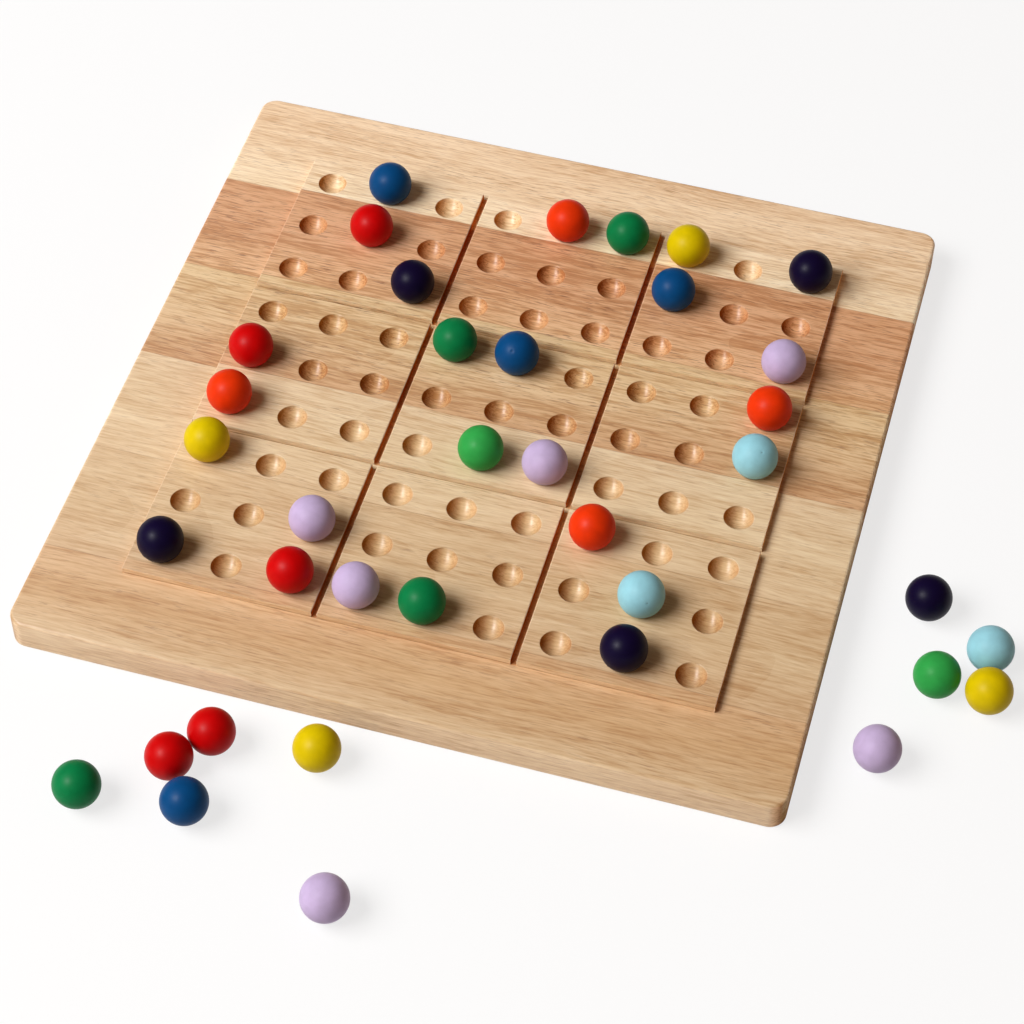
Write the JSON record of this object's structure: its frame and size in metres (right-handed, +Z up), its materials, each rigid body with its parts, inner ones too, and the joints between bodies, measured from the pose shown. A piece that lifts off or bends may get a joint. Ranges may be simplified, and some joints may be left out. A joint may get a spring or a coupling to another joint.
{
  "type": "sudoku board",
  "caption": "Wooden sudoku board: a glued panel with raised square blocks, rows of round dimples and painted balls, some seated in the dimples and some lying beside the board.",
  "frame": {"origin": "centre of the board's underside, on the table", "axes": "+Z up out of the board's face, +X to the right and +Y to the back as it is pictured"},
  "size_m": [0.3702, 0.3868, 0.0329],
  "materials": {
    "stave_1": "satin",
    "stave_2": "satin",
    "stave_3": "satin",
    "stave_4": "satin",
    "stave_5": "satin",
    "stave_6": "satin",
    "paint_red": "satin",
    "paint_orange": "satin",
    "paint_yellow": "satin",
    "paint_green": "satin",
    "paint_dark_green": "satin",
    "paint_sky": "satin",
    "paint_blue": "satin",
    "paint_navy": "satin",
    "paint_lavender": "satin"
  },
  "bodies": {
    "board": {"stave_1": "stave_1", "stave_2": "stave_2", "stave_3": "stave_3", "stave_4": "stave_4", "stave_5": "stave_5", "stave_6": "stave_6"},
    "ball_blue_1": {"ball_blue_1": "paint_blue"},
    "ball_blue_2": {"ball_blue_2": "paint_blue"},
    "ball_blue_3": {"ball_blue_3": "paint_blue"},
    "ball_blue_4": {"ball_blue_4": "paint_blue"},
    "ball_dark_green_1": {"ball_dark_green_1": "paint_dark_green"},
    "ball_dark_green_2": {"ball_dark_green_2": "paint_dark_green"},
    "ball_dark_green_3": {"ball_dark_green_3": "paint_dark_green"},
    "ball_dark_green_4": {"ball_dark_green_4": "paint_dark_green"},
    "ball_green_1": {"ball_green_1": "paint_green"},
    "ball_green_2": {"ball_green_2": "paint_green"},
    "ball_lavender_1": {"ball_lavender_1": "paint_lavender"},
    "ball_lavender_2": {"ball_lavender_2": "paint_lavender"},
    "ball_lavender_3": {"ball_lavender_3": "paint_lavender"},
    "ball_lavender_4": {"ball_lavender_4": "paint_lavender"},
    "ball_lavender_5": {"ball_lavender_5": "paint_lavender"},
    "ball_lavender_6": {"ball_lavender_6": "paint_lavender"},
    "ball_navy_1": {"ball_navy_1": "paint_navy"},
    "ball_navy_2": {"ball_navy_2": "paint_navy"},
    "ball_navy_3": {"ball_navy_3": "paint_navy"},
    "ball_navy_4": {"ball_navy_4": "paint_navy"},
    "ball_navy_5": {"ball_navy_5": "paint_navy"},
    "ball_orange_1": {"ball_orange_1": "paint_orange"},
    "ball_orange_2": {"ball_orange_2": "paint_orange"},
    "ball_orange_3": {"ball_orange_3": "paint_orange"},
    "ball_orange_4": {"ball_orange_4": "paint_orange"},
    "ball_red_1": {"ball_red_1": "paint_red"},
    "ball_red_2": {"ball_red_2": "paint_red"},
    "ball_red_3": {"ball_red_3": "paint_red"},
    "ball_red_4": {"ball_red_4": "paint_red"},
    "ball_red_5": {"ball_red_5": "paint_red"},
    "ball_sky_1": {"ball_sky_1": "paint_sky"},
    "ball_sky_2": {"ball_sky_2": "paint_sky"},
    "ball_sky_3": {"ball_sky_3": "paint_sky"},
    "ball_yellow_1": {"ball_yellow_1": "paint_yellow"},
    "ball_yellow_2": {"ball_yellow_2": "paint_yellow"},
    "ball_yellow_3": {"ball_yellow_3": "paint_yellow"},
    "ball_yellow_4": {"ball_yellow_4": "paint_yellow"}
  },
  "joints": [
    {"name": "ball_blue_1_lift", "type": "slide", "parent": "board", "child": "ball_blue_1", "axis": [0, 0, 1], "range_m": [0, 0.04]},
    {"name": "ball_blue_2_lift", "type": "slide", "parent": "board", "child": "ball_blue_2", "axis": [0, 0, 1], "range_m": [0, 0.04]},
    {"name": "ball_blue_3_lift", "type": "slide", "parent": "board", "child": "ball_blue_3", "axis": [0, 0, 1], "range_m": [0, 0.04]},
    {"name": "ball_blue_4_lift", "type": "slide", "parent": "board", "child": "ball_blue_4", "axis": [0, 0, 1], "range_m": [0, 0.04]},
    {"name": "ball_dark_green_1_lift", "type": "slide", "parent": "board", "child": "ball_dark_green_1", "axis": [0, 0, 1], "range_m": [0, 0.04]},
    {"name": "ball_dark_green_2_lift", "type": "slide", "parent": "board", "child": "ball_dark_green_2", "axis": [0, 0, 1], "range_m": [0, 0.04]},
    {"name": "ball_dark_green_3_lift", "type": "slide", "parent": "board", "child": "ball_dark_green_3", "axis": [0, 0, 1], "range_m": [0, 0.04]},
    {"name": "ball_dark_green_4_lift", "type": "slide", "parent": "board", "child": "ball_dark_green_4", "axis": [0, 0, 1], "range_m": [0, 0.04]},
    {"name": "ball_green_1_lift", "type": "slide", "parent": "board", "child": "ball_green_1", "axis": [0, 0, 1], "range_m": [0, 0.04]},
    {"name": "ball_green_2_lift", "type": "slide", "parent": "board", "child": "ball_green_2", "axis": [0, 0, 1], "range_m": [0, 0.04]},
    {"name": "ball_lavender_1_lift", "type": "slide", "parent": "board", "child": "ball_lavender_1", "axis": [0, 0, 1], "range_m": [0, 0.04]},
    {"name": "ball_lavender_2_lift", "type": "slide", "parent": "board", "child": "ball_lavender_2", "axis": [0, 0, 1], "range_m": [0, 0.04]},
    {"name": "ball_lavender_3_lift", "type": "slide", "parent": "board", "child": "ball_lavender_3", "axis": [0, 0, 1], "range_m": [0, 0.04]},
    {"name": "ball_lavender_4_lift", "type": "slide", "parent": "board", "child": "ball_lavender_4", "axis": [0, 0, 1], "range_m": [0, 0.04]},
    {"name": "ball_lavender_5_lift", "type": "slide", "parent": "board", "child": "ball_lavender_5", "axis": [0, 0, 1], "range_m": [0, 0.04]},
    {"name": "ball_lavender_6_lift", "type": "slide", "parent": "board", "child": "ball_lavender_6", "axis": [0, 0, 1], "range_m": [0, 0.04]},
    {"name": "ball_navy_1_lift", "type": "slide", "parent": "board", "child": "ball_navy_1", "axis": [0, 0, 1], "range_m": [0, 0.04]},
    {"name": "ball_navy_2_lift", "type": "slide", "parent": "board", "child": "ball_navy_2", "axis": [0, 0, 1], "range_m": [0, 0.04]},
    {"name": "ball_navy_3_lift", "type": "slide", "parent": "board", "child": "ball_navy_3", "axis": [0, 0, 1], "range_m": [0, 0.04]},
    {"name": "ball_navy_4_lift", "type": "slide", "parent": "board", "child": "ball_navy_4", "axis": [0, 0, 1], "range_m": [0, 0.04]},
    {"name": "ball_navy_5_lift", "type": "slide", "parent": "board", "child": "ball_navy_5", "axis": [0, 0, 1], "range_m": [0, 0.04]},
    {"name": "ball_orange_1_lift", "type": "slide", "parent": "board", "child": "ball_orange_1", "axis": [0, 0, 1], "range_m": [0, 0.04]},
    {"name": "ball_orange_2_lift", "type": "slide", "parent": "board", "child": "ball_orange_2", "axis": [0, 0, 1], "range_m": [0, 0.04]},
    {"name": "ball_orange_3_lift", "type": "slide", "parent": "board", "child": "ball_orange_3", "axis": [0, 0, 1], "range_m": [0, 0.04]},
    {"name": "ball_orange_4_lift", "type": "slide", "parent": "board", "child": "ball_orange_4", "axis": [0, 0, 1], "range_m": [0, 0.04]},
    {"name": "ball_red_1_lift", "type": "slide", "parent": "board", "child": "ball_red_1", "axis": [0, 0, 1], "range_m": [0, 0.04]},
    {"name": "ball_red_2_lift", "type": "slide", "parent": "board", "child": "ball_red_2", "axis": [0, 0, 1], "range_m": [0, 0.04]},
    {"name": "ball_red_3_lift", "type": "slide", "parent": "board", "child": "ball_red_3", "axis": [0, 0, 1], "range_m": [0, 0.04]},
    {"name": "ball_red_4_lift", "type": "slide", "parent": "board", "child": "ball_red_4", "axis": [0, 0, 1], "range_m": [0, 0.04]},
    {"name": "ball_red_5_lift", "type": "slide", "parent": "board", "child": "ball_red_5", "axis": [0, 0, 1], "range_m": [0, 0.04]},
    {"name": "ball_sky_1_lift", "type": "slide", "parent": "board", "child": "ball_sky_1", "axis": [0, 0, 1], "range_m": [0, 0.04]},
    {"name": "ball_sky_2_lift", "type": "slide", "parent": "board", "child": "ball_sky_2", "axis": [0, 0, 1], "range_m": [0, 0.04]},
    {"name": "ball_sky_3_lift", "type": "slide", "parent": "board", "child": "ball_sky_3", "axis": [0, 0, 1], "range_m": [0, 0.04]},
    {"name": "ball_yellow_1_lift", "type": "slide", "parent": "board", "child": "ball_yellow_1", "axis": [0, 0, 1], "range_m": [0, 0.04]},
    {"name": "ball_yellow_2_lift", "type": "slide", "parent": "board", "child": "ball_yellow_2", "axis": [0, 0, 1], "range_m": [0, 0.04]},
    {"name": "ball_yellow_3_lift", "type": "slide", "parent": "board", "child": "ball_yellow_3", "axis": [0, 0, 1], "range_m": [0, 0.04]},
    {"name": "ball_yellow_4_lift", "type": "slide", "parent": "board", "child": "ball_yellow_4", "axis": [0, 0, 1], "range_m": [0, 0.04]}
  ]
}
